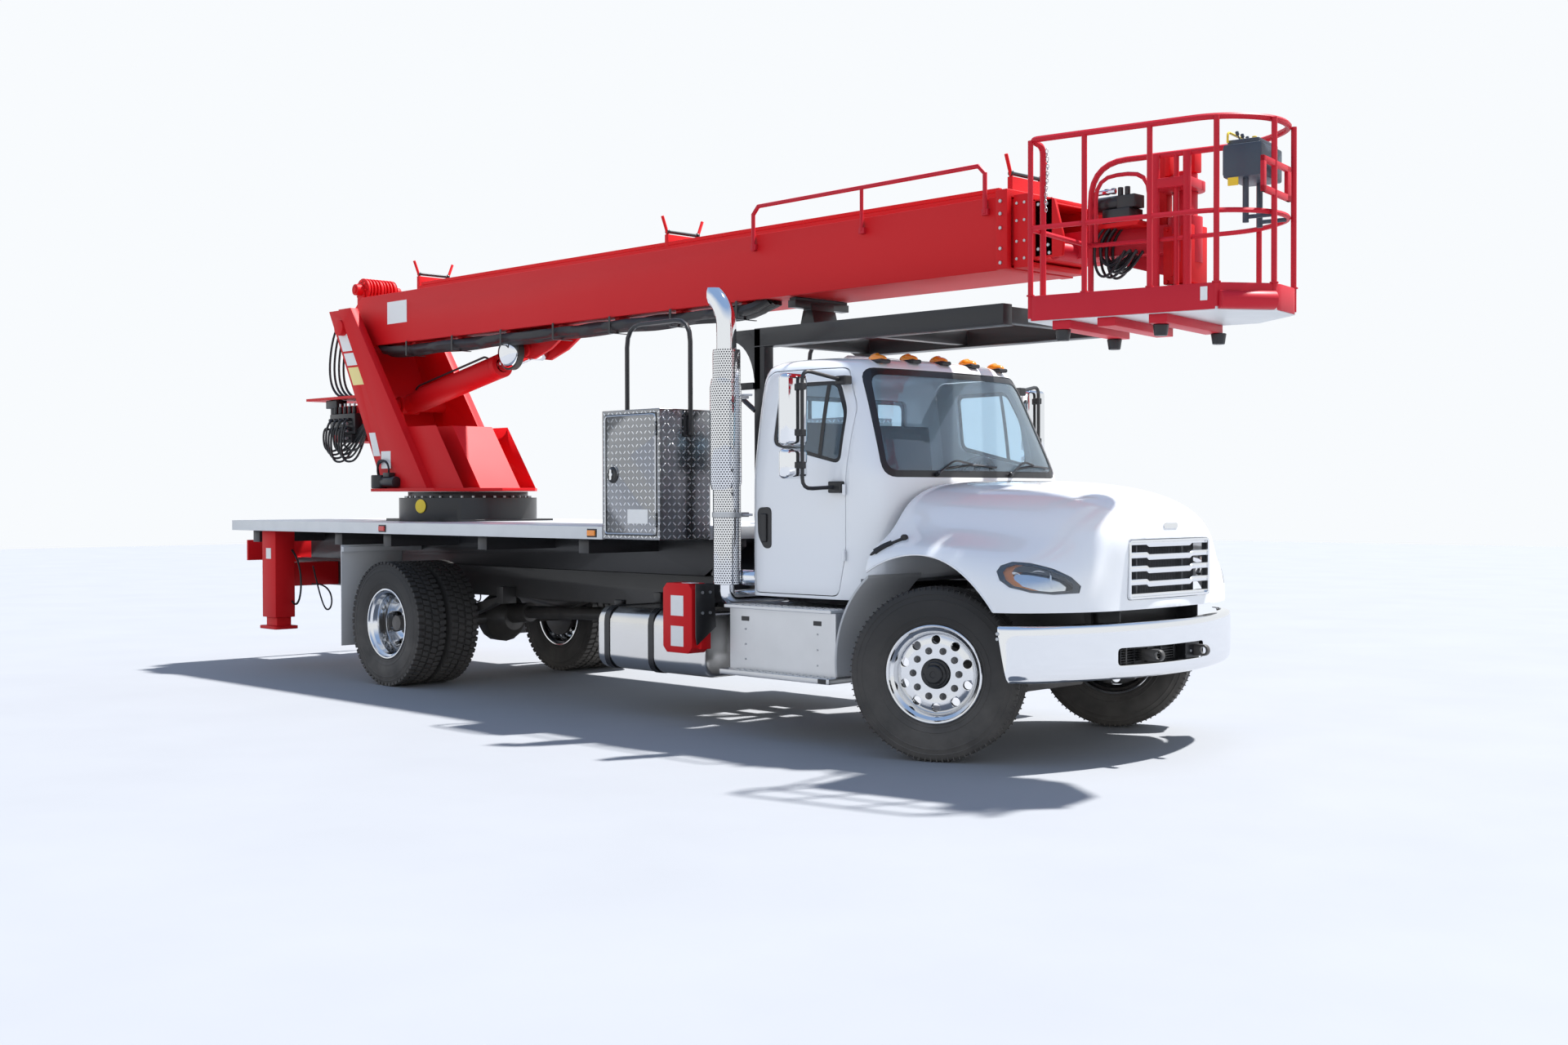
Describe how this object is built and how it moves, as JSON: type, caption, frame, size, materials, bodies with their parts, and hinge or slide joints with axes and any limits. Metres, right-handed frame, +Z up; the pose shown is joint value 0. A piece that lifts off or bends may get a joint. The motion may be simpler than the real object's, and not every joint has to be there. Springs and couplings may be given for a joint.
{
  "type": "cherry picker truck",
  "caption": "Conventional lorry with a telescopic boom on a turntable over the rear axle, a basket carried over the bonnet, outriggers and tool boxes.",
  "frame": {"origin": "on the ground, under the middle of the whole machine", "axes": "+X forward, +Y to the driver's left, +Z up"},
  "size_m": [10.8979, 2.73, 3.7948],
  "materials": {
    "white_paint": "gloss",
    "red_paint": "gloss",
    "chassis_black": "satin",
    "bed_white": "satin",
    "chrome": "polished",
    "polished_alloy": "polished",
    "aluminium": "brushed",
    "steel_rod": "polished",
    "cast_iron": "matte",
    "tyre": "matte",
    "hose_rubber": "matte",
    "grey_rubber": "matte",
    "grey_trim": "matte",
    "console_grey": "matte",
    "amber_lens": "gloss",
    "glass": "gloss"
  },
  "bodies": {
    "root": {"frame_rails": "chassis_black", "engine_block": "cast_iron", "front_axle": "chassis_black", "rear_axle": "chassis_black", "cab_shell": "white_paint", "cab_glass": "glass", "cab_interior": "grey_trim", "bumper": "chrome", "cab_steps": "aluminium", "fuel_tanks": "aluminium", "exhaust_stack": "chrome", "splash_guards": "grey_rubber", "subframe": "chassis_black", "deck": "bed_white", "tool_boxes": "aluminium", "handrails": "chassis_black", "boom_rest": "chassis_black", "lamps": "amber_lens", "outrigger_frames": "red_paint", "front_outrigger_housing": "chassis_black"},
    "hood_tilting": {"hood": "white_paint", "grille": "chrome"},
    "door_left_leaf": {"door_left": "white_paint", "door_glass_left": "glass", "mirror_left": "chrome"},
    "door_right_leaf": {"door_right": "white_paint", "door_glass_right": "glass", "mirror_right": "chrome"},
    "steering_left": {"knuckle_left": "cast_iron"},
    "steering_right": {"knuckle_right": "cast_iron"},
    "front_wheels_left": {"front_wheel_left": "polished_alloy", "front_tyre_left": "tyre"},
    "front_wheels_right": {"front_wheel_right": "polished_alloy", "front_tyre_right": "tyre"},
    "rear_wheels_left": {"rear_wheel_left": "polished_alloy", "rear_tyres_left": "tyre"},
    "rear_wheels_right": {"rear_wheel_right": "polished_alloy", "rear_tyres_right": "tyre"},
    "rear_leg_left": {"rear_jack_left": "red_paint"},
    "rear_leg_right": {"rear_jack_right": "red_paint"},
    "front_leg_left": {"front_outrigger_left": "red_paint"},
    "front_leg_right": {"front_outrigger_right": "red_paint"},
    "box_door_left": {"tool_box_door_left": "aluminium"},
    "box_door_right": {"tool_box_door_right": "aluminium"},
    "turntable": {"turret": "red_paint", "hose_reel": "red_paint"},
    "boom": {"boom_base": "red_paint", "boom_hoses": "hose_rubber", "boom_handrail": "red_paint"},
    "boom_middle": {"boom_mid": "red_paint"},
    "boom_end": {"boom_tip": "red_paint"},
    "carrier": {"platform_carrier": "red_paint"},
    "platform": {"basket": "red_paint", "control_console": "console_grey"},
    "lift_barrel": {"lift_cylinder": "red_paint"},
    "lift_piston": {"lift_rod": "steel_rod"}
  },
  "joints": [
    {"name": "slew", "type": "hinge", "parent": "root", "child": "turntable", "pos_m": [-2.9678, 0, 1.65], "axis": [0, 0, 1], "continuous": true},
    {"name": "lift", "type": "hinge", "parent": "turntable", "child": "boom", "pos_m": [-4.4178, 0, 3.215], "axis": [0, -1, 0], "range_deg": [0, 78]},
    {"name": "lift_barrel_swing", "type": "hinge", "parent": "turntable", "child": "lift_barrel", "pos_m": [-3.9678, 0, 2.47], "axis": [0, -1, 0], "range_deg": [0, 71.54]},
    {"name": "lift_piston_stroke", "type": "slide", "parent": "lift_barrel", "child": "lift_piston", "axis": [0.9815, 0, 0.1915], "range_m": [0, 1.057]},
    {"name": "telescope_middle", "type": "slide", "parent": "boom", "child": "boom_middle", "axis": [1, 0, 0], "range_m": [0, 6.5]},
    {"name": "telescope_end", "type": "slide", "parent": "boom_middle", "child": "boom_end", "axis": [1, 0, 0], "range_m": [0, 6.5]},
    {"name": "platform_level", "type": "hinge", "parent": "boom_end", "child": "carrier", "pos_m": [3.7772, 0, 3.125], "axis": [0, -1, 0], "range_deg": [-78, 0]},
    {"name": "basket_swing", "type": "hinge", "parent": "carrier", "child": "platform", "pos_m": [4.4522, 0.175, 3.15], "axis": [0, 0, 1], "range_deg": [0, 165]},
    {"name": "hood_tilt", "type": "hinge", "parent": "root", "child": "hood_tilting", "pos_m": [4.3322, 0, 0.7], "axis": [0, 1, 0], "range_deg": [0, 65]},
    {"name": "door_left_swing", "type": "hinge", "parent": "root", "child": "door_left_leaf", "pos_m": [2.7022, 1.02, 1.7], "axis": [0, 0, -1], "range_deg": [0, 70]},
    {"name": "door_right_swing", "type": "hinge", "parent": "root", "child": "door_right_leaf", "pos_m": [2.7022, -1.02, 1.7], "axis": [0, 0, 1], "range_deg": [0, 70]},
    {"name": "steer_left", "type": "hinge", "parent": "root", "child": "steering_left", "pos_m": [3.4322, 0.885, 0.525], "axis": [0, 0, 1], "range_deg": [-62.6, 13.4]},
    {"name": "steer_right", "type": "hinge", "parent": "root", "child": "steering_right", "pos_m": [3.4322, -0.885, 0.525], "axis": [0, 0, 1], "range_deg": [-62.6, 13.4]},
    {"name": "front_wheel_left_roll", "type": "hinge", "parent": "steering_left", "child": "front_wheels_left", "pos_m": [3.3656, 1.03048, 0.525], "axis": [-0.4163, 0.9092, 0], "continuous": true},
    {"name": "rear_wheels_left_roll", "type": "hinge", "parent": "root", "child": "rear_wheels_left", "pos_m": [-2.4478, 0.9075, 0.525], "axis": [0, 1, 0], "continuous": true},
    {"name": "rear_leg_left_down", "type": "slide", "parent": "root", "child": "rear_leg_left", "axis": [0, 0, -1], "range_m": [0, 0.35]},
    {"name": "front_leg_left_out", "type": "slide", "parent": "root", "child": "front_leg_left", "axis": [0, 1, 0], "range_m": [0, 0.36]},
    {"name": "box_door_left_swing", "type": "hinge", "parent": "root", "child": "box_door_left", "pos_m": [1.0982, 1.228, 1.75], "axis": [0, 0, -1], "range_deg": [0, 100]},
    {"name": "front_wheel_right_roll", "type": "hinge", "parent": "steering_right", "child": "front_wheels_right", "pos_m": [3.4988, -1.03048, 0.525], "axis": [-0.4163, 0.9092, 0], "continuous": true},
    {"name": "rear_wheels_right_roll", "type": "hinge", "parent": "root", "child": "rear_wheels_right", "pos_m": [-2.4478, -0.9075, 0.525], "axis": [0, 1, 0], "continuous": true},
    {"name": "rear_leg_right_down", "type": "slide", "parent": "root", "child": "rear_leg_right", "axis": [0, 0, -1], "range_m": [0, 0.35]},
    {"name": "front_leg_right_out", "type": "slide", "parent": "root", "child": "front_leg_right", "axis": [0, -1, 0], "range_m": [0, 0.36]},
    {"name": "box_door_right_swing", "type": "hinge", "parent": "root", "child": "box_door_right", "pos_m": [1.0982, -1.228, 1.75], "axis": [0, 0, 1], "range_deg": [0, 100]}
  ],
  "couplings": [
    {"joint": "steer_right", "follows": "steer_left", "ratio": 1},
    {"joint": "lift_barrel_swing", "follows": "lift", "ratio": 0.91691},
    {"joint": "lift_piston_stroke", "follows": "lift", "m_per_rad": 0.77603},
    {"joint": "telescope_end", "follows": "telescope_middle", "ratio": 1},
    {"joint": "platform_level", "follows": "lift", "ratio": -1}
  ]
}
